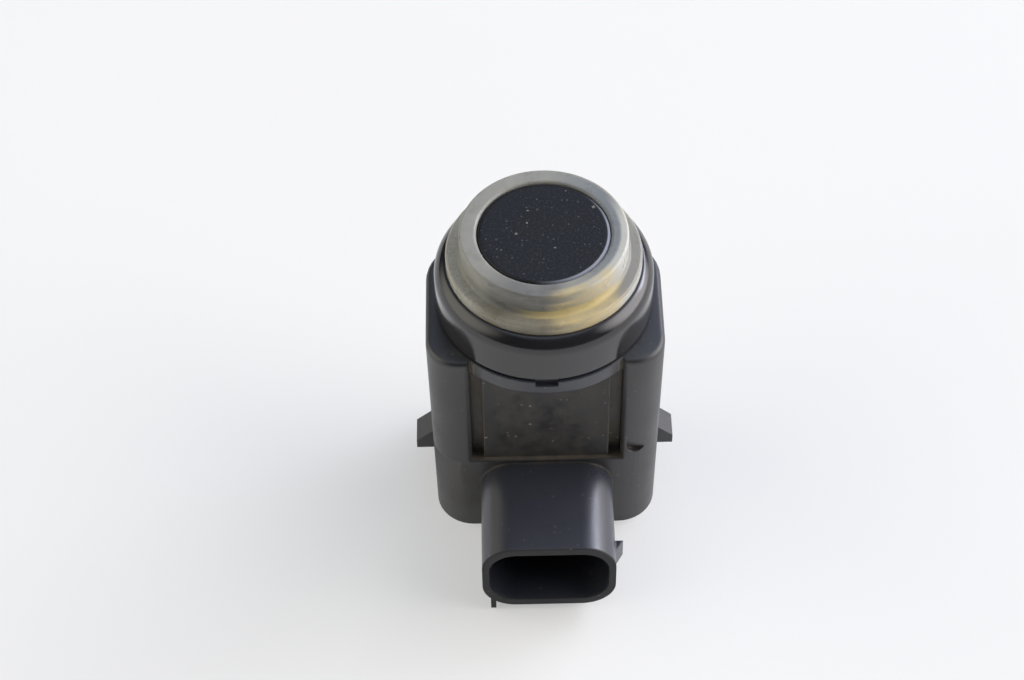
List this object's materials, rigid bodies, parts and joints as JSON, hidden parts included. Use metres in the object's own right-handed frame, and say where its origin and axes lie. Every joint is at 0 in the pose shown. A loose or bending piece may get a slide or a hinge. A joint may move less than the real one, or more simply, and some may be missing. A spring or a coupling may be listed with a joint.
{
  "type": "parking sensor",
  "caption": "Ultrasonic parking sensor: a round membrane in a soft ring and a collar, on a block housing with side latch lugs and a keyed plug socket at right angles.",
  "frame": {"origin": "on the sensor's axis, in the plane of the rear rim", "axes": "+Z along the sensor's axis to the membrane, -Y out of the plug socket, +X to the side with the plug's latch wedge"},
  "size_m": [0.0326, 0.0365, 0.0439],
  "materials": {
    "moulded_plastic": "satin black, moulded",
    "collar_plastic": "satin black, moulded",
    "silicone": "grey, see-through at thin edges",
    "painted_aluminium": "matt black primer",
    "piezo_ceramic": "sintered, silvered",
    "soft_filler": "cast silicone",
    "foam": "cut foam",
    "red_insulation": "extruded",
    "blue_insulation": "extruded",
    "board_laminate": "solder mask",
    "component_plastic": "moulded",
    "copper_wire": "enamelled wire",
    "ferrite": "pressed and fired",
    "drawn_aluminium": "drawn can",
    "tinned_leads": "tinned",
    "fired_ceramic": "fired",
    "pin_brass": "stamped and plated",
    "sealing_compound": "cast, glossy"
  },
  "bodies": {
    "root": {"housing": "moulded_plastic", "retaining_cap": "collar_plastic", "decoupling_ring": "silicone", "transducer_cup": "painted_aluminium", "piezo_disc": "piezo_ceramic", "damping_pad": "soft_filler", "cup_filler": "soft_filler", "foam_disc": "foam", "signal_lead": "red_insulation", "ground_lead": "blue_insulation", "circuit_board": "board_laminate", "transformer_bobbin": "component_plastic", "transformer_winding": "copper_wire", "transformer_core": "ferrite", "capacitor_can": "drawn_aluminium", "capacitor_base": "component_plastic", "control_chip": "component_plastic", "control_chip_leads": "tinned_leads", "ceramic_capacitors": "fired_ceramic", "chip_resistors": "fired_ceramic", "supply_diode": "component_plastic", "contact_pin_1": "pin_brass", "contact_pin_2": "pin_brass", "contact_pin_3": "pin_brass", "potting": "sealing_compound"}
  },
  "joints": []
}
